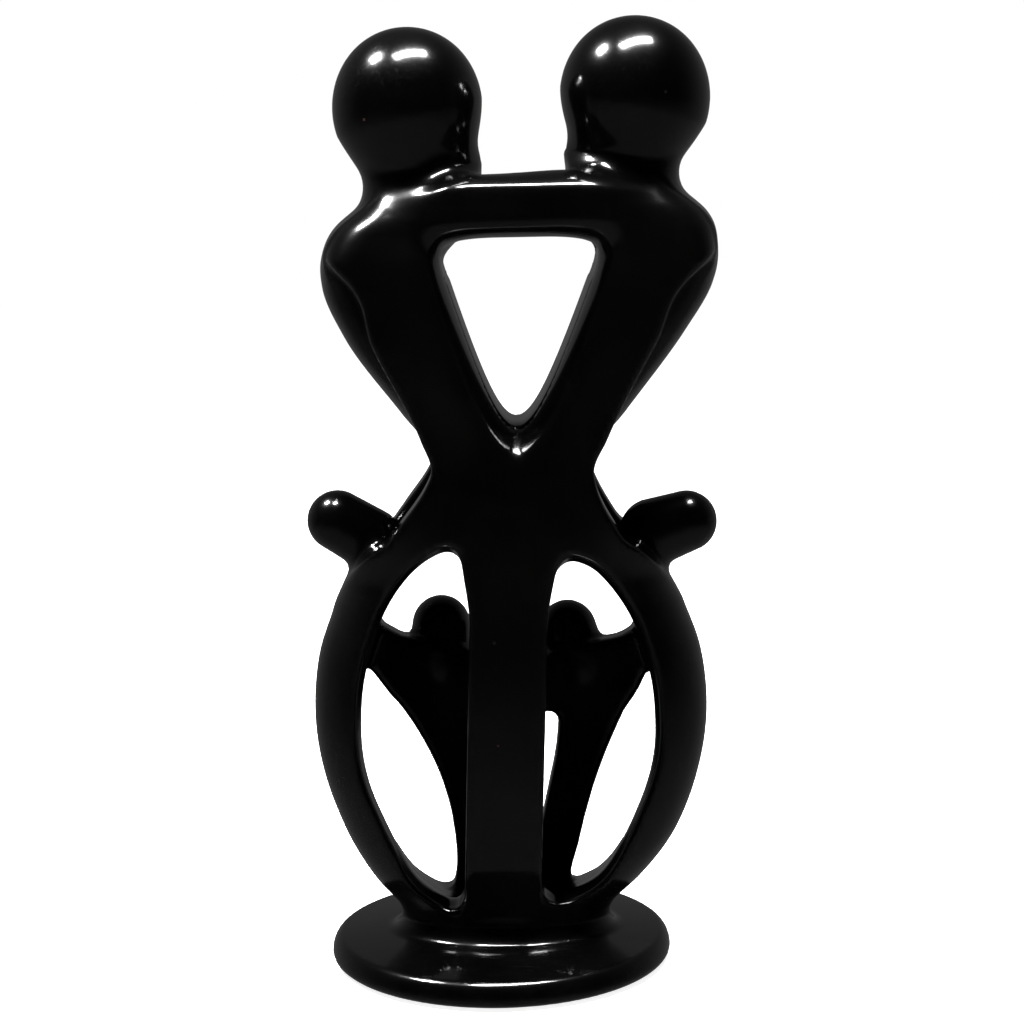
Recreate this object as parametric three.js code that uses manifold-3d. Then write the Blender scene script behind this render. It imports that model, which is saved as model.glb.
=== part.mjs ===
import * as THREE from 'three';
import { SimplifyModifier } from 'three/addons/modifiers/SimplifyModifier.js';
import { mergeVertices } from 'three/addons/utils/BufferGeometryUtils.js';
import Module from 'manifold-3d';

// A family of six carved from one block of soapstone: two parents with joined arms,
// a child at each side of the cage of legs, two children at its rear, and a round base.
// Millimetres, +Z up, the front toward -Y, the origin under the middle of the base.

// stone
const stoneColour = 0x0a0a0b;
const stoneRoughness = 0.2;

// mesh: cells fine enough for the thin edges, then fewer corners where the stone runs smooth
const cell = 3.3;
const keptCorners = 4100;
const cellMargin = 0.04;
const field = { low: [-74, -42, 3], high: [84, 42, 307] };

// round base with a soft rim and a slightly domed top, and the short hub on it
const base = { x: -0.5, radius: 54.6, rimHeight: 3.4, flatRadius: 49, topRadius: 51, top: 8.8, crown: 11.2 };
const hub = { width: 31.8, depth: 22, top: 18.4, flare: 2.4, buried: 4 };

// curves up the figure, each a list of [height, value] that one smooth line follows
const middle = [[-6, 0], [18.6, 1.6], [40.2, 3.6], [65.7, 4], [110, 4.1], [146.6, 3.9], [163.6, 6.2],
  [200.4, 7.3], [226.1, 9.4], [294.5, 10.8]];
const cageWidth = [[8, 34], [12.9, 31.7], [18.6, 34.6], [26.8, 42.4], [38.9, 51], [51, 56.5], [63.1, 60.2],
  [74.9, 62.2], [91.1, 62.2], [102.3, 60.4], [116.4, 55.5], [127.5, 52.1], [146.6, 74.6], [168.6, 129]];
const depthHalf = [[8, 22.5], [13.4, 21.1], [24.8, 23.8], [37.1, 27.5], [55.5, 30.9], [86.1, 33],
  [126.5, 31.6], [161.6, 28.6], [215, 28.6], [230, 27.4], [240, 24], [248, 17.5], [253, 9], [255.5, 0.7]];
const sheetHalf = [[116.4, 55.9], [129.5, 44.7], [144.5, 33.6], [157.4, 26.1], [161.6, 24.9],
  [171.6, 28.4], [200.4, 42.9], [221.2, 53.3], [230, 67.1]];
const coreHalf = [[116.4, 49.9], [134.6, 36.9], [144.6, 26.9], [154.6, 21.4], [160.6, 22.4], [177.6, 35.3],
  [202.4, 53.4], [217.2, 60.7], [226.1, 61.5], [235.9, 57.5], [242.8, 49.7], [248.7, 44.3], [254.6, 38.4]];
const wellHalf = [[221.2, 21.7], [227.1, 23.2], [235.9, 21.2], [245.7, 16.7], [257.5, 14.7]];
const windowHalf = [[14, 0], [26, 12], [34, 21], [38, 26.7], [47, 34], [56.5, 39.3], [66, 42.8], [76, 44.7],
  [86, 44.9], [95, 44.2], [103, 42.6], [111, 40.2], [118, 37.4], [123, 34.6], [128, 31], [132.5, 26.8],
  [137, 21], [141, 15]];

// body block: a flat front sheet and rear sheet with a rounder core between them
const sheetDepth = 28.6;
const sheetInner = 14.3;
const coreDepth = 16.4;
const coreRound = 8;
const yokeFall = 5.5;
const bodyTop = 254.6;
const rightRise = 3.2;
const planPower = 2.2;
const arris = 1.6;
const shoulderRound = 9;
const saddle = { height: 127.4, reach: 49.9, slope: 1.2, top: 137.5 };

// three-cornered opening between the parents, flared at both faces, and the open well above it
const opening = { x: 7.4, z: 166.6, lean: 0.0316, apex: 135.1, slope: 0.3182, round: 10,
  top: 237.4, corner: 14, waist: 2.6, flare: 2.2, flarePower: 4 };
const well = { depth: 12, flare: 9, bottom: 221 };
const bar = { depth: 19.5, height: 243, rearDrop: 1.9, halfDepth: 10.5, halfHeight: 8.9,
  reach: 33, endRound: 18, blend: 8 };

// cage: openings either side of the front leg, and a rear wall of two children. The hollow
// falls and widens a little toward the rear, at a rate of fan for each millimetre; at the
// front its floor sinks and its edges are bevelled
const window = { top: 138.8, bottom: 32.2, front: -28, fan: 0.0013, eye: [5.6, 280], behind: 0.03,
  bevel: 1.8, bevelDepth: 12, sink: 8, sinkFrom: -24, sinkTo: 16 };
const frontLeg = { x: -0.6, lean: 0.0388, half: 12, flare: 3.5, thickness: 12 };
const rearWall = { thickness: 13, shoulder: 97.5, clasp: [6, 82.6], claspRadius: 9.3, low: 9, high: 121.5,
  armRadius: 6.5, wristRadius: 3.5 };
const rearChildren = [
  { inner: [[10.6, -2.1], [45.5, -4], [61.8, -7.5], [76, -9.2], [91.3, -12]],
    outer: [[10.6, -19.5], [22.2, -15.3], [38.8, -15.6], [55.4, -19.8], [72, -27.7], [93.3, -42], [99, -46]],
    elbow: [-26, 90.6], hand: [-46, 109], head: [-18.4, 29.9, 103], neck: [-17, 28, 91] },
  { inner: [[10.6, 8], [25, 10.3], [46.5, 15.2], [62.8, 18.7], [91.3, 20]],
    outer: [[10.6, 26], [19.8, 22.6], [33.8, 25.8], [58.3, 33.4], [74.5, 40.3], [90.6, 48], [98, 51]],
    elbow: [35.5, 88.4], hand: [54.5, 108], head: [23.2, 29.9, 100.6], neck: [27.5, 28, 90] },
];
const smallHead = { radii: [9.1, 9.4, 9.6], neckTop: 8.6, neckFoot: 9 };

// children at the sides, each a round head with its neck down into the saddle
const sideChildren = [
  { head: [-49.5, 0, 143.7], headRadius: 9.6, neck: [-39.2, 0, 137.4], neckRadius: 10 },
  { head: [60.6, 0, 141.4], headRadius: 9.7, neck: [50.2, 0, 138], neckRadius: 10.8 },
];

// parents' heads
const neckRound = 9;
const parents = [
  { head: [-24.2, 0, 274], radii: [22.5, 23.5, 22.5], neck: [-18.4, 0, 245.7], neckRadius: 15.6 },
  { head: [45.8, 0, 276.2], radii: [22.5, 23.5, 22.5], neck: [40, 0, 248.7], neckRadius: 14 },
];

// smooth line through a list of [height, value], level with its neighbours' slopes
function curve(knots, z) {
  const last = knots.length - 1;
  let i = 0;
  while (i < last - 1 && z > knots[i + 1][0]) {
    i += 1;
  }
  const slope = (k) => (knots[k + 1][1] - knots[k][1]) / (knots[k + 1][0] - knots[k][0]);
  const span = (k) => knots[k + 1][0] - knots[k][0];
  const tangent = (k) => {
    if (k === 0) return slope(0);
    if (k === last) return slope(last - 1);
    return (slope(k - 1) * span(k) + slope(k) * span(k - 1)) / (span(k - 1) + span(k));
  };
  const h = span(i);
  const t = THREE.MathUtils.clamp((z - knots[i][0]) / h, 0, 1);
  const start = (1 + 2 * t) * (1 - t) ** 2 * knots[i][1] + t * (1 - t) ** 2 * h * tangent(i);
  return start + t * t * (3 - 2 * t) * knots[i + 1][1] + t * t * (t - 1) * h * tangent(i + 1);
}

// distances below are negative inside the stone; these two round the seam over k
const ramp = (value, low, high) => THREE.MathUtils.smoothstep(value, low, high);
function join(a, b, k) {
  const h = Math.max(k - Math.abs(a - b), 0) / k;
  return Math.min(a, b) - h * h * k / 4;
}
const keep = (a, b, k) => -join(-a, -b, k);

// stick of length p to q with its own radius at each end, in two or three dimensions
function stick(at, p, q, startRadius, endRadius) {
  const along = at.map((c, i) => [c - p[i], q[i] - p[i]]);
  const length2 = along.reduce((sum, [, d]) => sum + d * d, 0);
  const t = THREE.MathUtils.clamp(along.reduce((sum, [c, d]) => sum + c * d, 0) / length2, 0, 1);
  const away = Math.hypot(...along.map(([c, d]) => c - t * d));
  return away - THREE.MathUtils.lerp(startRadius, endRadius, t);
}

function egg(at, centre, radii) {
  const unit = Math.hypot(...at.map((c, i) => (c - centre[i]) / radii[i]));
  const steep = Math.hypot(...at.map((c, i) => (c - centre[i]) / radii[i] ** 2));
  return unit * (unit - 1) / Math.max(steep, 1e-6);
}

// everything that the forms share at one point
function measure(x, y, z) {
  const aside = x - curve(middle, z);
  const tall = ramp(aside, -14, 14);
  const level = z - rightRise * tall * ramp(z, 221, 236);
  const width = curve(cageWidth, z);
  const depth = Math.max(curve(depthHalf, level), 0.5);
  const a = Math.abs(aside);
  const w = Math.abs(y);
  const planned = Math.max(1 - (a / width) ** planPower, 1e-3);
  const face = depth * planned ** (1 / planPower);
  const reach = ((a / width) ** planPower + (w / depth) ** planPower) ** (1 / planPower);
  const envelope = (reach - 1) * Math.min(width, depth) * 0.95;
  return { x, y, z, a, w, aside, tall, level, face, envelope };
}

// sheets and core, joined to the mass of the cage below the saddle
function bodyBlock({ z, a, w, level, envelope }) {
  const yoke = yokeFall * (w / sheetDepth) ** 2;
  const fade = ramp(level, 214, 228);
  let sheet = (a - curve(sheetHalf, z)) * 0.88;
  if (level > 218) {
    sheet = keep(sheet, (a - curve(coreHalf, level) + yoke) * 0.85, 5);
  }
  sheet = keep(sheet, sheetInner - w, 2);
  const rounding = coreRound * (1 - Math.sqrt(Math.max(1 - (w / coreDepth) ** 2, 0)));
  const side = a - curve(coreHalf, level) + rounding * (1 - fade) + yoke * fade;
  const core = keep(side * 0.8, w - coreDepth, 2);
  const slant = (z - saddle.height + saddle.slope * (a - saddle.reach)) * 0.64;
  const cageTop = keep(slant, z - saddle.top, 4);
  const block = join(join(sheet, core, 2), cageTop, 4);
  const edge = arris + shoulderRound * ramp(level, 216, 238);
  return keep(keep(block, envelope, edge), level - bodyTop, edge);
}

// opening through the body, wider at both faces, and the well from above
function bodyOpening({ x, z, a, w, level }) {
  const out = (Math.min(w, sheetDepth) / sheetDepth) ** opening.flarePower;
  const inset = opening.waist - (opening.waist + opening.flare * ramp(z, 150, 185)) * out;
  const across = Math.hypot(x - opening.x - opening.lean * (z - opening.z), opening.round);
  const flank = (across - (z - opening.apex) * opening.slope) / Math.hypot(1, opening.slope);
  const corner = keep(flank, z - opening.top, opening.corner) + inset;
  const wellDepth = well.depth + well.flare * ramp(level, 239, 252);
  const shaft = Math.max(a - curve(wellHalf, level), w - wellDepth, well.bottom - z);
  return join(corner, shaft, 3);
}

function arms({ y, z, a, w }) {
  const height = bar.height - (y > 0 ? bar.rearDrop : 0);
  const round = Math.hypot((w - bar.depth) / bar.halfDepth, (z - height) / bar.halfHeight) - 1;
  return keep(keep(round * bar.halfHeight, w - sheetDepth, 1.5), a - bar.reach, bar.endRound);
}

// what is cut out of the cage: two front windows and all that lies behind the front wall
function cageHollow({ x, y, z, face }) {
  const fan = window.fan * Math.max(y - window.front, 0);
  const fannedX = (x + fan * window.eye[0]) / (1 + fan);
  const fannedZ = (z + fan * window.eye[1]) / (1 + fan);
  const aside = fannedX - curve(middle, fannedZ);
  const tall = ramp(aside, -14, 14);
  const ahead = THREE.MathUtils.clamp((window.sinkTo - y) / (window.sinkTo - window.sinkFrom), 0, 1);
  const sunkZ = fannedZ + window.sink * ahead * (1 - ramp(fannedZ, 24, 60));
  let oval = (Math.abs(aside + 0.9) - curve(windowHalf, sunkZ)) * 0.85;
  oval = keep(oval, sunkZ - window.top + 4.2 * tall, 5);
  oval = keep(oval, window.bottom + 2.5 * tall - sunkZ, 5);
  oval -= window.behind * Math.max(y - window.front - 6, 0);
  oval -= window.bevel * (1 - ramp(y + face, 0, window.bevelDepth));
  const legHalf = frontLeg.half + frontLeg.flare * ramp(z, 114, 142);
  const leg = Math.abs(x - frontLeg.x - frontLeg.lean * z) - legHalf;
  const behind = keep(oval, -(y + face - frontLeg.thickness), 4);
  return y < 0 ? join(behind, keep(oval, -leg, 7), 0.5) : behind;
}

function rearFigure({ inner, outer, elbow, hand }, x, z) {
  const near = curve(inner, z);
  const far = curve(outer, z);
  const { shoulder, armRadius, wristRadius, clasp, claspRadius } = rearWall;
  let figure = (Math.abs(x - (near + far) / 2) - Math.abs(far - near) / 2) * 0.93;
  figure = keep(figure, z - shoulder, 8);
  figure = join(figure, stick([x, z], elbow, hand, armRadius, wristRadius), 6);
  return join(figure, stick([x, z], elbow, clasp, claspRadius, claspRadius), 5);
}

function childrenWall({ x, y, z, face, envelope }) {
  const [left, right] = rearChildren.map((child) => rearFigure(child, x, z));
  const front = keep(join(left, right, 3), face - rearWall.thickness - y, 3);
  return Math.max(keep(front, envelope, 4), z - rearWall.high, rearWall.low - z);
}

// the whole carving above the base
function carving(x, y, z) {
  const at = measure(x, y, z);
  const point = [x, y, z];
  const upper = keep(bodyBlock(at), -bodyOpening(at), 3);
  let stone = join(upper, arms(at), bar.blend);
  stone = join(keep(stone, -cageHollow(at), 2.4), childrenWall(at), 3);
  for (const { head, radii, neck, neckRadius } of parents) {
    const jaw = [head[0], 0, head[2] - 5];
    const skull = join(egg(point, head, radii), stick(point, jaw, neck, radii[0] - 0.5, neckRadius), 4);
    stone = join(stone, skull, neckRound);
  }
  for (const { head, headRadius, neck, neckRadius } of sideChildren) {
    stone = join(stone, stick(point, head, neck, headRadius, neckRadius), 4.5);
  }
  for (const { head, neck } of rearChildren) {
    const rise = stick(point, head, neck, smallHead.neckTop, smallHead.neckFoot);
    stone = join(stone, join(egg(point, head, smallHead.radii), rise, 3), 3);
  }
  const spread = hub.flare * (1 - ramp(z, 11, 16.5));
  const across = Math.hypot(at.aside / (hub.width + spread), y / (hub.depth + spread));
  const drum = keep((across - 1) * hub.depth, Math.max(z - hub.top, hub.buried - z), 2.5);
  return join(Math.max(stone, hub.buried - z), drum, 3);
}

function slopeAt(p) {
  const e = 0.05;
  return new THREE.Vector3(
    carving(p.x + e, p.y, p.z) - carving(p.x - e, p.y, p.z),
    carving(p.x, p.y + e, p.z) - carving(p.x, p.y - e, p.z),
    carving(p.x, p.y, p.z + e) - carving(p.x, p.y, p.z - e),
  ).normalize();
}

// where the edge from p to q passes through the surface
function crossing(p, q, valueP, valueQ) {
  let [inner, outer] = valueP < 0 ? [p.clone(), q.clone()] : [q.clone(), p.clone()];
  let spot = p.clone().lerp(q, valueP / (valueP - valueQ));
  for (let turn = 0; turn < 6; turn += 1) {
    if (carving(spot.x, spot.y, spot.z) < 0) {
      inner = spot;
    } else {
      outer = spot;
    }
    spot = inner.clone().add(outer).multiplyScalar(0.5);
  }
  return { point: spot, normal: slopeAt(spot) };
}

// a cell's corner of the mesh, drawn toward every tangent plane so that arrises stay crisp
function settle(crossings, low, high) {
  const spot = new THREE.Vector3();
  for (const { point } of crossings) {
    spot.addScaledVector(point, 1 / crossings.length);
  }
  for (let turn = 0; turn < 20; turn += 1) {
    const pull = new THREE.Vector3();
    for (const { point, normal } of crossings) {
      pull.addScaledVector(normal, point.clone().sub(spot).dot(normal));
    }
    spot.addScaledVector(pull, 1 / crossings.length);
  }
  return spot.clamp(low.clone().lerp(high, cellMargin), high.clone().lerp(low, cellMargin));
}

// closed mesh of the carving: a corner for each patch of surface in a cell, a quad for each crossed edge
function carvedGeometry() {
  const size = field.low.map((low, axis) => Math.ceil((field.high[axis] - low) / cell) + 1);
  const index = ([i, j, k]) => (k * size[1] + j) * size[0] + i;
  const place = (node) => new THREE.Vector3(...node.map((n, axis) => field.low[axis] + n * cell));
  const shift = (node, axis, by) => node.map((n, i) => (i === axis ? n + by : n));
  const edgeKey = (node, axis) => index(node) * 3 + axis;
  const ringOf = (node, axis, by) => [[0, 0], [1, 0], [1, 1], [0, 1]].map(
    ([du, dv]) => shift(shift(node, (axis + 1) % 3, by * du), (axis + 2) % 3, by * dv),
  );
  const nodes = [];
  for (let k = 0; k < size[2]; k += 1) {
    for (let j = 0; j < size[1]; j += 1) {
      for (let i = 0; i < size[0]; i += 1) {
        nodes.push([i, j, k]);
      }
    }
  }
  const values = nodes.map((node) => carving(...place(node).toArray()));
  const inside = (node) => values[index(node)] < 0;

  const crossings = new Map();
  for (const node of nodes) {
    for (let axis = 0; axis < 3; axis += 1) {
      const next = shift(node, axis, 1);
      if (next[axis] < size[axis] && inside(node) !== inside(next)) {
        const hit = crossing(place(node), place(next), values[index(node)], values[index(next)]);
        crossings.set(edgeKey(node, axis), { ...hit, node, axis });
      }
    }
  }

  // the crossed edges of one cell, in a group for each patch of surface that passes through it
  const patchesOf = (cell) => {
    const groups = new Map();
    const link = (one, other) => {
      const both = [...new Set([...(groups.get(one) ?? [one]), ...(groups.get(other) ?? [other])])];
      both.forEach((edge) => groups.set(edge, both));
    };
    for (let axis = 0; axis < 3; axis += 1) {
      for (let side = 0; side < 2; side += 1) {
        const ring = ringOf(shift(cell, axis, side), axis, 1);
        const edges = ring.map((node, m) => {
          const next = ring[(m + 1) % 4];
          return edgeKey(index(node) < index(next) ? node : next, (axis + 1 + (m % 2)) % 3);
        });
        const crossed = edges.filter((edge) => crossings.has(edge));
        if (crossed.length === 2) {
          link(...crossed);
        } else if (crossed.length === 4) {
          ring.forEach((node, m) => inside(node) && link(edges[(m + 3) % 4], edges[m]));
        }
      }
    }
    return new Set(groups.values());
  };

  const positions = [];
  const corners = new Map();
  for (const cell of nodes) {
    const far = cell.map((n) => n + 1);
    if (far.every((n, axis) => n < size[axis])) {
      for (const patch of patchesOf(cell)) {
        patch.forEach((edge) => corners.set(`${index(cell)} ${edge}`, positions.length));
        positions.push(settle(patch.map((edge) => crossings.get(edge)), place(cell), place(far)));
      }
    }
  }
  const triangles = [];
  for (const [edge, { node, axis }] of crossings) {
    const around = ringOf(node, axis, -1).map((cell) => corners.get(`${index(cell)} ${edge}`));
    const [a, b, c, d] = inside(node) ? around : around.reverse();
    const across = positions[a].distanceTo(positions[c]) < positions[b].distanceTo(positions[d]);
    triangles.push(...(across ? [a, b, c, a, c, d] : [a, b, d, b, c, d]));
  }
  const geometry = new THREE.BufferGeometry().setFromPoints(positions);
  geometry.setIndex(triangles);
  return geometry;
}

// base disc: flat underside, round rim, and a top that rises a little toward the hub
function baseGeometry() {
  const { radius, rimHeight, flatRadius, topRadius, top, crown } = base;
  const profile = [new THREE.Vector2(0, 0)];
  const turns = 5;
  for (let i = 0; i <= turns; i += 1) {
    const angle = (i / turns) * Math.PI / 2;
    profile.push(new THREE.Vector2(
      flatRadius + (radius - flatRadius) * Math.sin(angle),
      rimHeight * (1 - Math.cos(angle)),
    ));
  }
  for (let i = 1; i <= turns; i += 1) {
    const angle = (i / turns) * Math.PI / 2;
    profile.push(new THREE.Vector2(
      topRadius + (radius - topRadius) * Math.cos(angle),
      rimHeight + (top - rimHeight) * Math.sin(angle),
    ));
  }
  for (const away of [40, 28, 14]) {
    profile.push(new THREE.Vector2(away, crown - (crown - top) * (away / topRadius) ** 2));
  }
  profile.push(new THREE.Vector2(0, crown));
  return new THREE.LatheGeometry(profile, 60).rotateX(Math.PI / 2).translate(base.x, 0, 0);
}

const wasm = await Module();
wasm.setup();

function solid(geometry) {
  const bare = geometry.clone();
  bare.deleteAttribute('normal');
  bare.deleteAttribute('uv');
  const merged = mergeVertices(bare);
  return new wasm.Manifold(new wasm.Mesh({
    numProp: 3,
    vertProperties: merged.attributes.position.array,
    triVerts: new Uint32Array(merged.index.array),
  }));
}

function toGeometry(manifold) {
  const { vertProperties, triVerts } = manifold.getMesh();
  const geometry = new THREE.BufferGeometry();
  geometry.setAttribute('position', new THREE.BufferAttribute(vertProperties, 3));
  geometry.setIndex(new THREE.BufferAttribute(triVerts, 1));
  geometry.computeVertexNormals();
  return geometry;
}

const stone = new THREE.MeshStandardMaterial({
  color: stoneColour,
  roughness: stoneRoughness,
  metalness: 0,
});
const fine = carvedGeometry();
const carved = await new SimplifyModifier().modify(fine, fine.attributes.position.count - keptCorners);
const sculpture = new THREE.Mesh(toGeometry(solid(carved).add(solid(baseGeometry()))), stone);
sculpture.name = 'family_sculpture';

const family = new THREE.Group();
family.add(sculpture);
export default family;
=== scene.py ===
import math
import bpy
import numpy as np
from mathutils import Matrix, Vector


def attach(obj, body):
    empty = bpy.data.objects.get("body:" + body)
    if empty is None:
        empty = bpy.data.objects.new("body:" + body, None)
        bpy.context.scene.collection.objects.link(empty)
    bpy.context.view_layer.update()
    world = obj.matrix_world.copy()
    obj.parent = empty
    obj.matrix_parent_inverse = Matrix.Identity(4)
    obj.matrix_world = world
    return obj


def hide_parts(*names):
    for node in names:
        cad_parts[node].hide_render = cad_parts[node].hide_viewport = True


# A family carved from one block of soapstone: two parents with joined arms, a child at each
# side of a cage of legs, two children at the rear, and a round base. The forms are worked out
# in millimetres, +Z up and the front toward -Y, and turned to metres when the mesh is made.

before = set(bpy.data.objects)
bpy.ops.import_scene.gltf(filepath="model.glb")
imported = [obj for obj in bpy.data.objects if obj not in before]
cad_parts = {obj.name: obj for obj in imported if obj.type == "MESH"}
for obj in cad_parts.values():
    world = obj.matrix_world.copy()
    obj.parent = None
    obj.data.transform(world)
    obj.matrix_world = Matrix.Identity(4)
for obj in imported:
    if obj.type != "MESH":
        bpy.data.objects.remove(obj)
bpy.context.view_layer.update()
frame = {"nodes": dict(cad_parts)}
print("frame loaded:", ", ".join(frame["nodes"]))


# camera: it comes first, because the rest is judged through it
view = {"place": (0.0056, -0.8014, 0.2804), "downDegrees": 9.57, "rollDegrees": -1.1,
        "lens": 90.47, "sensor": 36, "nearest": 0.05}


def makeCamera():
    data = bpy.data.cameras.new("photoCamera")
    data.lens = view["lens"]
    data.sensor_width = view["sensor"]
    data.clip_start = view["nearest"]
    camera = bpy.data.objects.new("photoCamera", data)
    turn = Matrix.Rotation(math.radians(90 - view["downDegrees"]), 4, "X")
    roll = Matrix.Rotation(math.radians(view["rollDegrees"]), 4, "Z")
    camera.matrix_world = Matrix.Translation(view["place"]) @ turn @ roll
    bpy.context.collection.objects.link(camera)
    bpy.context.scene.camera = camera
    bpy.context.scene.view_settings.view_transform = "Standard"


makeCamera()
print("camera set")


# shader writing: one output of a node is a Wire, so that maths on it reads as maths
class Wire:
    def __init__(self, tree, socket):
        self.tree = tree
        self.socket = socket

    def maths(self, operation, first, second=0.0):
        return self.tree.node("ShaderNodeMath", {"operation": operation}, {0: first, 1: second})

    def __add__(self, other):
        return self.maths("ADD", self, other)

    def __radd__(self, other):
        return self.maths("ADD", other, self)

    def __sub__(self, other):
        return self.maths("SUBTRACT", self, other)

    def __rsub__(self, other):
        return self.maths("SUBTRACT", other, self)

    def __mul__(self, other):
        return self.maths("MULTIPLY", self, other)

    def __rmul__(self, other):
        return self.maths("MULTIPLY", other, self)

    def __abs__(self):
        return self.maths("ABSOLUTE", self)

    # another output of the same node
    def output(self, name):
        return Wire(self.tree, self.socket.node.outputs[name])


class Tree:
    def __init__(self, owner):
        owner.use_nodes = True
        self.nodes = owner.node_tree.nodes
        self.links = owner.node_tree.links
        self.nodes.clear()

    def node(self, kind, settings=None, sockets=None, out=0):
        made = self.nodes.new(kind)
        for name, value in (settings or {}).items():
            setattr(made, name, value)
        for name, value in (sockets or {}).items():
            if isinstance(value, Wire):
                self.links.new(value.socket, made.inputs[name])
            else:
                made.inputs[name].default_value = value
        return Wire(self, made.outputs[out]) if made.outputs else made

    def ramp(self, value, low, high, start=0.0, end=1.0):
        return self.node("ShaderNodeMapRange", {"interpolation_type": "SMOOTHSTEP"},
                         {"Value": value, "From Min": low, "From Max": high, "To Min": start, "To Max": end})

    # a thin line wherever a noise passes its middle value
    def line(self, noise, width):
        return self.ramp(abs(noise - 0.5), 0.0, width, 1.0, 0.0)

    # inputs 6 and 7 and output 2 are the mix node's colours
    def blend(self, factor, first, second):
        return self.node("ShaderNodeMix", {"data_type": "RGBA"}, {0: factor, 6: first, 7: second}, out=2)

    def noise(self, place, scale, detail, rough=0.5):
        return self.node("ShaderNodeTexNoise", {}, {
            "Vector": place, "Scale": scale, "Detail": detail, "Roughness": rough})


# studio: a pale floor, a dim sweep behind and beside, and two soft lamps above
white = (1, 1, 1, 1)
room = {
    "front": 0.0008, "back": 0.105, "turnsAt": (-0.45, 0.8),
    "below": 0.35, "fadesBelow": (-0.5, 0.0), "above": 0.4, "fadesAbove": (0.1, 0.8),
    "table": 0.09, "tableEnds": (-0.58, 0.0), "seen": 1.0,
}


def makeWorld():
    world = bpy.data.worlds.new("studio")
    bpy.context.scene.world = world
    tree = Tree(world)
    direction = tree.node("ShaderNodeTexCoord", out="Generated")
    across = tree.node("ShaderNodeSeparateXYZ", {}, {0: direction})
    upward = across.output("Z")
    # the sweep behind and beside the object glows, most at the horizon; the room in front is dark
    sweep = tree.ramp(across.output("Y"), *room["turnsAt"], room["front"], room["back"])
    below = tree.ramp(upward, *room["fadesBelow"], room["below"], 1.0)
    above = tree.ramp(upward, *room["fadesAbove"], 1.0, room["above"])
    level = sweep * (below * above) + tree.ramp(upward, *room["tableEnds"], room["table"], 0.0)
    # the camera sees plain white, and the stone mirrors the sweep
    lit = tree.node("ShaderNodeBackground", {}, {0: white, 1: level})
    plain = tree.node("ShaderNodeBackground", {}, {0: white, 1: room["seen"]})
    both = tree.node("ShaderNodeMixShader", {}, {0: tree.node("ShaderNodeLightPath"), 1: lit, 2: plain})
    tree.node("ShaderNodeOutputWorld", {}, {0: both})


table = {"radius": 2.6, "sides": 96, "colour": (0.86, 0.86, 0.85, 1), "roughness": 0.6, "glow": 0.9}


def makeFloor():
    turns = [2 * math.pi * i / table["sides"] for i in range(table["sides"])]
    corners = [(table["radius"] * math.cos(turn), table["radius"] * math.sin(turn), 0) for turn in turns]
    mesh = bpy.data.meshes.new("floor")
    mesh.from_pydata(corners, [], [list(range(table["sides"]))])
    floor = bpy.data.objects.new("floor", mesh)
    bpy.context.collection.objects.link(floor)
    material = bpy.data.materials.new("paleFloor")
    tree = Tree(material)
    surface = tree.node("ShaderNodeBsdfPrincipled", {}, {
        "Base Color": table["colour"], "Roughness": table["roughness"],
        "Emission Color": white, "Emission Strength": table["glow"]})
    tree.node("ShaderNodeOutputMaterial", {}, {0: surface})
    mesh.materials.append(material)
    floor.visible_glossy = False    # the stone mirrors the sweep instead


lampAim = (0.008, 0, 0.2)
lamps = {
    "softLeft": {"place": (-0.52, 0.02, 0.98), "size": (0.16, 0.16), "power": 26},
    "softAbove": {"place": (0.05, -0.12, 1.12), "size": (0.6, 0.15), "power": 44},
}


def makeLamps():
    for name, lamp in lamps.items():
        data = bpy.data.lights.new(name, "AREA")
        data.shape = "RECTANGLE"
        data.size, data.size_y = lamp["size"]
        data.energy = lamp["power"]
        made = bpy.data.objects.new(name, data)
        toward = Vector(lampAim) - Vector(lamp["place"])
        facing = toward.to_track_quat("-Z", "Y").to_matrix().to_4x4()
        made.matrix_world = Matrix.Translation(lamp["place"]) @ facing
        bpy.context.collection.objects.link(made)


makeWorld()
makeFloor()
makeLamps()
print("floor, sweep and lamps set")


# soapstone: near black under a polished wax, a little warmer in cloudy veins, and the flats
# that the file left make the shine waver. A noise is its scale, detail and roughness
soapstone = {
    "dark": (0.0003, 0.0003, 0.00035, 1), "warm": (0.0009, 0.0008, 0.00075, 1),
    "cloudNoise": (26, 5, 0.6), "cloudEdges": (0.42, 0.68), "cloudShare": 0.7,
    "veinNoise": (14, 4, 0.55), "veinWidth": 0.03, "veinShare": 0.3,
    "roughness": 0.15, "waxNoise": (34, 3, 0.5), "waxPatches": 0.07,
    "grainNoise": (900, 2, 0.5), "grain": 0.03, "grainDepth": 0.006,
    "flatNoise": (55, 1, 0.5), "flatDepth": 0.6, "bump": 0.25, "bumpReach": 0.0006,
    "ior": 1.45, "coat": 0.35, "coatRoughness": 0.06, "coatIor": 1.4,
}
# pits: small ones in about one cell in eleven, and more than a third of those are reddish
pits = {"scale": 110, "size": (0.035, 0.07), "chance": (0.9, 0.92), "redChance": (0.96, 0.97),
        "red": (0.05, 0.012, 0.008, 1), "roughness": 0.3, "depth": 0.15}
# hairs: thin scratches in two directions, only in worn patches
hairs = {
    "width": 0.006, "wornEdges": (0.55, 0.68), "detail": 2, "roughness": 0.12, "depth": 0.005,
    "upright": {"turn": (0.3, 0.5, 0.2), "squeeze": (420, 420, 14), "patchScale": 21},
    "level": {"turn": (0.9, -0.4, 0.7), "squeeze": (16, 380, 380), "patchScale": 17},
}


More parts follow.
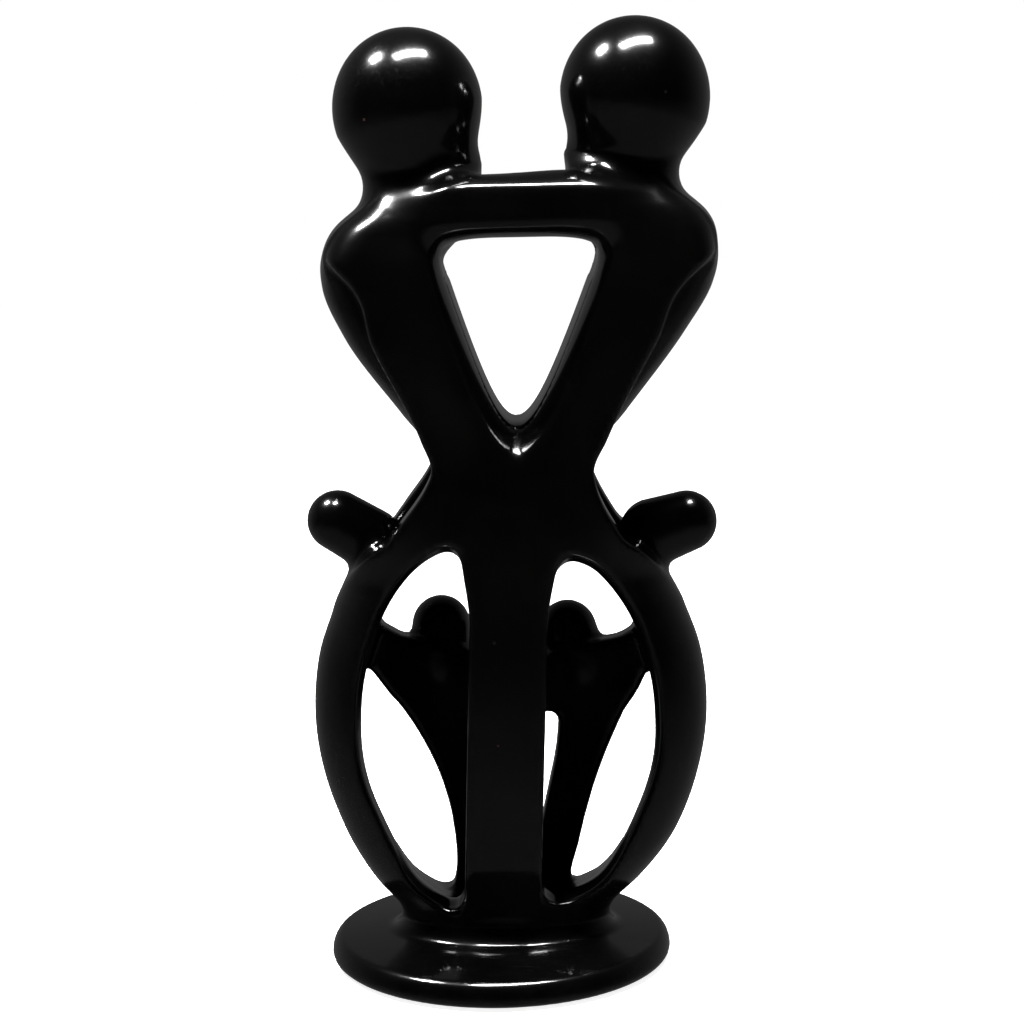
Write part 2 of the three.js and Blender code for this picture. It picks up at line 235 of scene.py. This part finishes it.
def stoneColour(tree, place):
    clouds = tree.ramp(tree.noise(place, *soapstone["cloudNoise"]), *soapstone["cloudEdges"])
    veins = tree.line(tree.noise(place, *soapstone["veinNoise"]), soapstone["veinWidth"])
    warmth = clouds * soapstone["cloudShare"] + veins * soapstone["veinShare"]
    return tree.blend(warmth, soapstone["dark"], soapstone["warm"])


def pitMarks(tree, place):
    cells = tree.node("ShaderNodeTexVoronoi", {}, {"Vector": place, "Scale": pits["scale"]})
    pick = tree.node("ShaderNodeSeparateColor", {}, {0: cells.output("Color")})
    pitted = tree.ramp(cells, *pits["size"], 1.0, 0.0) * tree.ramp(pick, *pits["chance"])
    return pitted, pitted * tree.ramp(pick, *pits["redChance"])


def hairMarks(tree, place, way):
    laid = tree.node("ShaderNodeMapping", {}, {
        "Vector": place, "Rotation": way["turn"], "Scale": way["squeeze"]})
    worn = tree.ramp(tree.noise(place, way["patchScale"], hairs["detail"]), *hairs["wornEdges"])
    return tree.line(tree.noise(laid, 1, hairs["detail"]), hairs["width"]) * worn


def makeSoapstone():
    material = bpy.data.materials.new("waxedSoapstone")
    tree = Tree(material)
    place = tree.node("ShaderNodeTexCoord", out="Object")
    pitted, reddish = pitMarks(tree, place)
    colour = tree.blend(reddish, stoneColour(tree, place), pits["red"])

    scratched = hairMarks(tree, place, hairs["upright"]) + hairMarks(tree, place, hairs["level"])
    grain = tree.noise(place, *soapstone["grainNoise"])
    wax = tree.noise(place, *soapstone["waxNoise"])
    roughness = soapstone["roughness"] + (wax - 0.5) * soapstone["waxPatches"]
    roughness = roughness + (grain - 0.5) * soapstone["grain"]
    roughness = roughness + scratched * hairs["roughness"] + pitted * pits["roughness"]

    flats = tree.noise(place, *soapstone["flatNoise"])
    height = flats * soapstone["flatDepth"] + grain * soapstone["grainDepth"]
    height = height - scratched * hairs["depth"] - pitted * pits["depth"]
    bump = tree.node("ShaderNodeBump", {}, {
        "Strength": soapstone["bump"], "Distance": soapstone["bumpReach"], "Height": height})
    surface = tree.node("ShaderNodeBsdfPrincipled", {}, {
        "Base Color": colour, "Roughness": roughness, "Normal": bump,
        "IOR": soapstone["ior"], "Coat Weight": soapstone["coat"],
        "Coat Roughness": soapstone["coatRoughness"], "Coat IOR": soapstone["coatIor"]})
    tree.node("ShaderNodeOutputMaterial", {}, {0: surface})
    return material


# forms: named sizes in millimetres. A list of (height, value) is one smooth curve up the figure
def curve(knots, z):
    heights, values = np.array(knots, float).T
    spans = np.diff(heights)
    slopes = np.diff(values) / spans
    inner = (slopes[:-1] * spans[1:] + slopes[1:] * spans[:-1]) / (spans[:-1] + spans[1:])
    tangents = np.concatenate((slopes[:1], inner, slopes[-1:]))
    i = np.clip(np.searchsorted(heights, z) - 1, 0, len(spans) - 1)
    t = np.clip((z - heights[i]) / spans[i], 0, 1)
    start = (1 + 2 * t) * (1 - t) ** 2 * values[i] + t * (1 - t) ** 2 * spans[i] * tangents[i]
    return start + t * t * (3 - 2 * t) * values[i + 1] + t * t * (t - 1) * spans[i] * tangents[i + 1]


def ramp(value, low, high):
    t = np.clip((value - low) / (high - low), 0, 1)
    return t * t * (3 - 2 * t)


# distances are negative inside the stone; join and keep round the seam over a width
def join(a, b, width):
    lap = np.maximum(width - np.abs(a - b), 0) / width
    return np.minimum(a, b) - lap * lap * width / 4


def keep(a, b, width):
    return -join(-a, -b, width)


def stick(at, foot, tip, footRadius, tipRadius):
    length = sum((b - a) ** 2 for a, b in zip(foot, tip))
    t = np.clip(sum((c - a) * (b - a) for c, a, b in zip(at, foot, tip)) / length, 0, 1)
    away = np.sqrt(sum((c - a - t * (b - a)) ** 2 for c, a, b in zip(at, foot, tip)))
    return away - footRadius - (tipRadius - footRadius) * t


def egg(at, centre, radii):
    unit = np.sqrt(sum(((c - m) / r) ** 2 for c, m, r in zip(at, centre, radii)))
    steep = np.sqrt(sum(((c - m) / r ** 2) ** 2 for c, m, r in zip(at, centre, radii)))
    return unit * (unit - 1) / np.maximum(steep, 1e-6)


# envelope: the rounded block that all but the heads and base is cut from, round a leaning middle
# line. The right side stands a little higher. A tilt turns a sideways measure into a distance
lean = [(-6, 0), (18.6, 1.6), (40.2, 3.6), (65.7, 4), (110, 4.1), (146.6, 3.9), (163.6, 6.2),
        (200.4, 7.3), (226.1, 9.4), (294.5, 10.8)]
tallSide = {"band": (-14, 14), "rise": 3.2, "riseHeights": (221, 236)}
cage = {
    "width": [(8, 34), (12.9, 31.7), (18.6, 34.6), (26.8, 42.4), (38.9, 51), (51, 56.5), (63.1, 60.2),
              (74.9, 62.2), (91.1, 62.2), (102.3, 60.4), (116.4, 55.5), (127.5, 52.1), (146.6, 74.6),
              (168.6, 129)],
    "depth": [(8, 22.5), (13.4, 21.1), (24.8, 23.8), (37.1, 27.5), (55.5, 30.9), (86.1, 33), (126.5, 31.6),
              (161.6, 28.6), (215, 28.6), (230, 27.4), (240, 24), (248, 17.5), (253, 9), (255.5, 0.7)],
    "power": 2.2, "leastDepth": 0.5, "leastShare": 1e-3, "tilt": 0.95,
    "saddle": 127.4, "saddleReach": 49.9, "saddleSlope": 1.2, "saddleTilt": 0.64, "saddleTop": 137.5,
    "saddleRound": 4,
}


# a place in the stone: side and deep are its distances from the middle line, across and in depth
class Spot:
    def __init__(self, x, y, z):
        self.x, self.y, self.z = x, y, z
        self.aside = x - curve(lean, z)
        tall = ramp(self.aside, *tallSide["band"])
        self.level = z - tallSide["rise"] * tall * ramp(z, *tallSide["riseHeights"])
        self.side, self.deep = np.abs(self.aside), np.abs(y)
        width = curve(cage["width"], z)
        depth = np.maximum(curve(cage["depth"], self.level), cage["leastDepth"])
        power = cage["power"]
        share = np.maximum(1 - (self.side / width) ** power, cage["leastShare"])
        self.face = depth * share ** (1 / power)
        reach = ((self.side / width) ** power + (self.deep / depth) ** power) ** (1 / power)
        self.envelope = (reach - 1) * np.minimum(width, depth) * cage["tilt"]


# body: a flat front sheet and rear sheet with a rounder core between them, over the saddle
body = {
    "sheet": [(116.4, 55.9), (129.5, 44.7), (144.5, 33.6), (157.4, 26.1), (161.6, 24.9), (171.6, 28.4),
              (200.4, 42.9), (221.2, 53.3), (230, 67.1)],
    "sheetDepth": 28.6, "sheetInner": 14.3, "sheetTilt": 0.88, "sheetRound": 2,
    "core": [(116.4, 49.9), (134.6, 36.9), (144.6, 26.9), (154.6, 21.4), (160.6, 22.4), (177.6, 35.3),
             (202.4, 53.4), (217.2, 60.7), (226.1, 61.5), (235.9, 57.5), (242.8, 49.7), (248.7, 44.3),
             (254.6, 38.4)],
    "coreDepth": 16.4, "coreBulge": 8, "coreTilt": 0.8, "coreFades": (214, 228), "coreRound": 2,
    "yokeFrom": 218, "yokeFall": 5.5, "yokeTilt": 0.85, "yokeRound": 5, "top": 254.6,
    "arris": 1.6, "shoulderRound": 9, "shoulderHeights": (216, 238), "cageSeam": 4,
}


def bodyBlock(s):
    yoke = body["yokeFall"] * (s.deep / body["sheetDepth"]) ** 2
    fade = ramp(s.level, *body["coreFades"])
    core = curve(body["core"], s.level)
    sheet = (s.side - curve(body["sheet"], s.z)) * body["sheetTilt"]
    shoulder = keep(sheet, (s.side - core + yoke) * body["yokeTilt"], body["yokeRound"])
    sheet = np.where(s.level > body["yokeFrom"], shoulder, sheet)
    sheet = keep(sheet, body["sheetInner"] - s.deep, body["sheetRound"])
    bulge = body["coreBulge"] * (1 - np.sqrt(np.maximum(1 - (s.deep / body["coreDepth"]) ** 2, 0)))
    middle = (s.side - core + bulge * (1 - fade) + yoke * fade) * body["coreTilt"]
    middle = keep(middle, s.deep - body["coreDepth"], body["coreRound"])
    slant = s.z - cage["saddle"] + cage["saddleSlope"] * (s.side - cage["saddleReach"])
    cageTop = keep(slant * cage["saddleTilt"], s.z - cage["saddleTop"], cage["saddleRound"])
    block = join(join(sheet, middle, body["coreRound"]), cageTop, body["cageSeam"])
    edge = body["arris"] + body["shoulderRound"] * ramp(s.level, *body["shoulderHeights"])
    return keep(keep(block, s.envelope, edge), s.level - body["top"], edge)


# opening: a three-cornered gap, flared at both faces, and an open well above it
opening = {"x": 7.4, "z": 166.6, "lean": 0.0316, "apex": 135.1, "slope": 0.3182, "round": 10,
           "top": 237.4, "corner": 14, "waist": 2.6, "flare": 2.2, "flarePower": 4,
           "flareHeights": (150, 185), "edge": 3}
well = {"half": [(221.2, 21.7), (227.1, 23.2), (235.9, 21.2), (245.7, 16.7), (257.5, 14.7)],
        "depth": 12, "flare": 9, "flareHeights": (239, 252), "bottom": 221, "seam": 3}


def bodyOpening(s):
    out = (np.minimum(s.deep, body["sheetDepth"]) / body["sheetDepth"]) ** opening["flarePower"]
    flare = opening["flare"] * ramp(s.z, *opening["flareHeights"])
    inset = opening["waist"] - (opening["waist"] + flare) * out
    across = np.hypot(s.x - opening["x"] - opening["lean"] * (s.z - opening["z"]), opening["round"])
    flank = (across - (s.z - opening["apex"]) * opening["slope"]) / math.hypot(1, opening["slope"])
    corner = keep(flank, s.z - opening["top"], opening["corner"]) + inset
    wellDepth = well["depth"] + well["flare"] * ramp(s.level, *well["flareHeights"])
    shaft = np.maximum(s.side - curve(well["half"], s.level), s.deep - wellDepth)
    return join(corner, np.maximum(shaft, well["bottom"] - s.z), well["seam"])


# bar: the parents' joined arms, one at each face over the well
bar = {"depth": 19.5, "height": 243, "rearDrop": 1.9, "halfDepth": 10.5, "halfHeight": 8.9,
       "reach": 33, "endRound": 18, "faceRound": 1.5, "blend": 8}


def arms(s):
    height = bar["height"] - np.where(s.y > 0, bar["rearDrop"], 0)
    around = np.hypot((s.deep - bar["depth"]) / bar["halfDepth"], (s.z - height) / bar["halfHeight"])
    tube = (around - 1) * bar["halfHeight"]
    tube = keep(tube, s.deep - body["sheetDepth"], bar["faceRound"])
    return keep(tube, s.side - bar["reach"], bar["endRound"])


# cage: windows either side of the front leg, and all hollow behind it
window = {
    "half": [(14, 0), (26, 12), (34, 21), (38, 26.7), (47, 34), (56.5, 39.3), (66, 42.8), (76, 44.7),
             (86, 44.9), (95, 44.2), (103, 42.6), (111, 40.2), (118, 37.4), (123, 34.6), (128, 31),
             (132.5, 26.8), (137, 21), (141, 15)],
    "tilt": 0.85, "middle": -0.9, "top": 138.8, "rightFall": 4.2, "bottom": 32.2, "rightLift": 2.5,
    "corner": 5, "edge": 2.4,
    "front": -28, "fan": 0.0013, "eye": (5.6, 280), "straight": 6, "behind": 0.03,
    "bevel": 1.8, "bevelDepth": 12, "sink": 8, "sinkFrom": -24, "sinkTo": 16, "sinkHeights": (24, 60),
}
frontLeg = {"x": -0.6, "lean": 0.0388, "half": 12, "flare": 3.5, "flareHeights": (114, 142),
            "thickness": 12, "rearRound": 4, "sideRound": 7, "seam": 0.5}


def cageHollow(s):
    # the hollow falls and widens a little toward the rear, so its side walls stay out of sight
    fan = window["fan"] * np.maximum(s.y - window["front"], 0)
    x = (s.x + fan * window["eye"][0]) / (1 + fan)
    z = (s.z + fan * window["eye"][1]) / (1 + fan)
    aside = x - curve(lean, z)
    tall = ramp(aside, *tallSide["band"])
    # at the front its floor lies lower and its edges are bevelled
    ahead = np.clip((window["sinkTo"] - s.y) / (window["sinkTo"] - window["sinkFrom"]), 0, 1)
    z = z + window["sink"] * ahead * (1 - ramp(z, *window["sinkHeights"]))
    bevel = window["bevel"] * (1 - ramp(s.y + s.face, 0, window["bevelDepth"]))
    oval = (np.abs(aside - window["middle"]) - curve(window["half"], z)) * window["tilt"]
    oval = keep(oval, z - window["top"] + window["rightFall"] * tall, window["corner"])
    oval = keep(oval, window["bottom"] + window["rightLift"] * tall - z, window["corner"])
    oval = oval - window["behind"] * np.maximum(s.y - window["front"] - window["straight"], 0) - bevel
    # the front leg stands in the front half alone
    legHalf = frontLeg["half"] + frontLeg["flare"] * ramp(s.z, *frontLeg["flareHeights"])
    leg = np.abs(s.x - frontLeg["x"] - frontLeg["lean"] * s.z) - legHalf
    behind = keep(oval, -(s.y + s.face - frontLeg["thickness"]), frontLeg["rearRound"])
    beside = keep(oval, -leg, frontLeg["sideRound"])
    return np.where(s.y < 0, join(behind, beside, frontLeg["seam"]), behind)


# rear wall: two children side by side, each with a hand up on the cage and an arm to their clasp
rearWall = {"thickness": 13, "low": 9, "high": 121.5, "tilt": 0.93, "shoulder": 97.5, "shoulderRound": 8,
            "armRadius": 6.5, "wristRadius": 3.5, "armSeam": 6,
            "clasp": (6, 82.6), "claspRadius": 9.3, "claspSeam": 5,
            "figureSeam": 3, "faceRound": 3, "outerRound": 4, "seam": 3}
rearChildren = [
    {"inner": [(10.6, -2.1), (45.5, -4), (61.8, -7.5), (76, -9.2), (91.3, -12)],
     "outer": [(10.6, -19.5), (22.2, -15.3), (38.8, -15.6), (55.4, -19.8), (72, -27.7), (93.3, -42),
               (99, -46)],
     "elbow": (-26, 90.6), "hand": (-46, 109), "head": (-18.4, 29.9, 103), "neck": (-17, 28, 91)},
    {"inner": [(10.6, 8), (25, 10.3), (46.5, 15.2), (62.8, 18.7), (91.3, 20)],
     "outer": [(10.6, 26), (19.8, 22.6), (33.8, 25.8), (58.3, 33.4), (74.5, 40.3), (90.6, 48), (98, 51)],
     "elbow": (35.5, 88.4), "hand": (54.5, 108), "head": (23.2, 29.9, 100.6), "neck": (27.5, 28, 90)},
]


def rearFigure(child, s):
    near, far = curve(child["inner"], s.z), curve(child["outer"], s.z)
    figure = (np.abs(s.x - (near + far) / 2) - np.abs(far - near) / 2) * rearWall["tilt"]
    figure = keep(figure, s.z - rearWall["shoulder"], rearWall["shoulderRound"])
    flat = (s.x, s.z)
    raised = stick(flat, child["elbow"], child["hand"], rearWall["armRadius"], rearWall["wristRadius"])
    figure = join(figure, raised, rearWall["armSeam"])
    radius = rearWall["claspRadius"]
    bent = stick(flat, child["elbow"], rearWall["clasp"], radius, radius)
    return join(figure, bent, rearWall["claspSeam"])


def childrenWall(s):
    left, right = (rearFigure(child, s) for child in rearChildren)
    pair = join(left, right, rearWall["figureSeam"])
    wall = keep(pair, s.face - rearWall["thickness"] - s.y, rearWall["faceRound"])
    wall = keep(wall, s.envelope, rearWall["outerRound"])
    return np.maximum(wall, np.maximum(s.z - rearWall["high"], rearWall["low"] - s.z))


# heads: the parents' on their necks, the side children's leaning out of the saddle, and the
# rear children's in the cage
parents = [
    {"head": (-24.2, 0, 274), "neck": (-18.4, 0, 245.7), "neckRadius": 15.6},
    {"head": (45.8, 0, 276.2), "neck": (40, 0, 248.7), "neckRadius": 14},
]
parentHead = {"radii": (22.5, 23.5, 22.5), "jawDrop": 5, "jawRadius": 22, "jawSeam": 4, "neckSeam": 9}
sideChildren = [
    {"head": (-49.5, 0, 143.7), "headRadius": 9.6, "neck": (-39.2, 0, 137.4), "neckRadius": 10},
    {"head": (60.6, 0, 141.4), "headRadius": 9.7, "neck": (50.2, 0, 138), "neckRadius": 10.8},
]
sideSeam = 4.5
smallHead = {"radii": (9.1, 9.4, 9.6), "neckTop": 8.6, "neckFoot": 9, "seam": 3}


def addHeads(stone, at):
    for one in parents:
        jaw = (one["head"][0], 0, one["head"][2] - parentHead["jawDrop"])
        neck = stick(at, jaw, one["neck"], parentHead["jawRadius"], one["neckRadius"])
        head = join(egg(at, one["head"], parentHead["radii"]), neck, parentHead["jawSeam"])
        stone = join(stone, head, parentHead["neckSeam"])
    for one in sideChildren:
        head = stick(at, one["head"], one["neck"], one["headRadius"], one["neckRadius"])
        stone = join(stone, head, sideSeam)
    for one in rearChildren:
        neck = stick(at, one["head"], one["neck"], smallHead["neckTop"], smallHead["neckFoot"])
        head = join(egg(at, one["head"], smallHead["radii"]), neck, smallHead["seam"])
        stone = join(stone, head, smallHead["seam"])
    return stone


# base: a round disc with a soft rim and a slightly domed top, and a short hub where the legs stand
base = {"x": -0.5, "radius": 54.6, "rimHeight": 3.4, "flatRadius": 49, "topRadius": 51,
        "top": 8.8, "crown": 11.2, "fillet": 2.5}
hub = {"width": 31.8, "depth": 22, "top": 18.4, "topRound": 2.5, "flare": 2.4, "flareHeights": (11, 16.5),
       "buried": 4, "seam": 3}


def hubDrum(s):
    spread = hub["flare"] * (1 - ramp(s.z, *hub["flareHeights"]))
    across = np.hypot(s.aside / (hub["width"] + spread), s.y / (hub["depth"] + spread))
    ends = np.maximum(s.z - hub["top"], hub["buried"] - s.z)
    return keep((across - 1) * hub["depth"], ends, hub["topRound"])


def baseDisc(s):
    away = np.hypot(s.x - base["x"], s.y)
    rim, middle, flat, shelf = base["radius"], base["rimHeight"], base["flatRadius"], base["topRadius"]
    top = base["top"] + (base["crown"] - base["top"]) * (1 - (np.minimum(away, shelf) / shelf) ** 2)
    low = np.hypot(np.maximum(away - flat, 0) / (rim - flat), s.z / middle - 1)
    high = np.hypot(np.maximum(away - shelf, 0) / (rim - shelf), (s.z - middle) / (top - middle))
    return np.where(s.z < middle, (low - 1) * middle, (high - 1) * (base["top"] - middle))


def carving(x, y, z):
    s = Spot(x, y, z)
    stone = keep(bodyBlock(s), -bodyOpening(s), opening["edge"])
    stone = join(stone, arms(s), bar["blend"])
    stone = keep(stone, -cageHollow(s), window["edge"])
    stone = join(stone, childrenWall(s), rearWall["seam"])
    stone = addHeads(stone, (x, y, z))
    stone = join(np.maximum(stone, hub["buried"] - z), hubDrum(s), hub["seam"])
    return join(stone, baseDisc(s), base["fillet"])


# skin: one corner for each small cell that the surface passes through, then drawn onto it
skin = {"cell": 1.45, "low": (-66, -60, -3), "high": (80, 60, 309), "slab": 12, "pulls": 3, "step": 0.02}


def slopeAt(points):
    step = skin["step"]
    gradient = np.empty_like(points)
    for axis in range(3):
        ahead, back = points.copy(), points.copy()
        ahead[:, axis] += step
        back[:, axis] -= step
        gradient[:, axis] = (carving(*ahead.T) - carving(*back.T)) / (2 * step)
    return gradient


# the distances at the grid's corners, worked out a slab at a time to save memory
def gridValues():
    cell, slab = skin["cell"], skin["slab"]
    lines = [np.arange(low, high + cell, cell) for low, high in zip(skin["low"], skin["high"])]
    values = np.empty([len(line) for line in lines])
    for i in range(0, len(lines[0]), slab):
        block = np.meshgrid(lines[0][i:i + slab], lines[1], lines[2], indexing="ij")
        values[i:i + slab] = carving(*block)
    return values


# where the surface crosses the grid's lines along one axis, and the ring of cells around each place
def crossings(values, axis):
    inside = values < 0
    low = [slice(None)] * 3
    high = [slice(None)] * 3
    low[axis], high[axis] = slice(None, -1), slice(1, None)
    crossed = np.argwhere(inside[tuple(low)] != inside[tuple(high)])
    step, u, v = (np.eye(3, dtype=int)[(axis + turn) % 3] for turn in range(3))
    here = values[tuple(crossed.T)]
    there = values[tuple((crossed + step).T)]
    spots = np.array(skin["low"]) + skin["cell"] * (crossed + np.outer(here / (here - there), step))
    ring = np.stack([np.ravel_multi_index(tuple((crossed - du * u - dv * v).T), values.shape)
                     for du, dv in ((0, 0), (1, 0), (1, 1), (0, 1))], axis=1)
    return spots, ring, np.where((here < 0)[:, None], ring, ring[:, ::-1])


def carveSkin():
    values = gridValues()
    total = values.size
    sums, counts, rings = np.zeros((3, total)), np.zeros(total), []
    for axis in range(3):
        spots, ring, facing = crossings(values, axis)
        rings.append(facing)
        for column in ring.T:
            counts += np.bincount(column, minlength=total)
            for i in range(3):
                sums[i] += np.bincount(column, weights=spots[:, i], minlength=total)
    used = np.flatnonzero(counts)
    points = (sums[:, used] / counts[used]).T
    order = np.zeros(total, int)
    order[used] = np.arange(len(used))
    for pull in range(skin["pulls"]):
        slope = slopeAt(points)
        points -= slope * (carving(*points.T) / (slope ** 2).sum(axis=1))[:, None]
    slope = slopeAt(points)
    normals = slope / np.linalg.norm(slope, axis=1)[:, None]
    return points, order[np.concatenate(rings)], normals


def makeSculpture():
    points, quads, normals = carveSkin()
    mesh = bpy.data.meshes.new("familyCarving")
    mesh.from_pydata((points / 1000).tolist(), [], quads.tolist())
    mesh.polygons.foreach_set("use_smooth", [True] * len(mesh.polygons))
    mesh.normals_split_custom_set_from_vertices(normals.tolist())
    mesh.update()
    piece = bpy.data.objects.new("familyCarving", mesh)
    bpy.context.collection.objects.link(piece)
    mesh.materials.append(makeSoapstone())
    print("carving made:", len(points), "corners,", 2 * len(quads), "triangles")
    return piece


family = makeSculpture()
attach(family, "root")
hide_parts("family_sculpture")
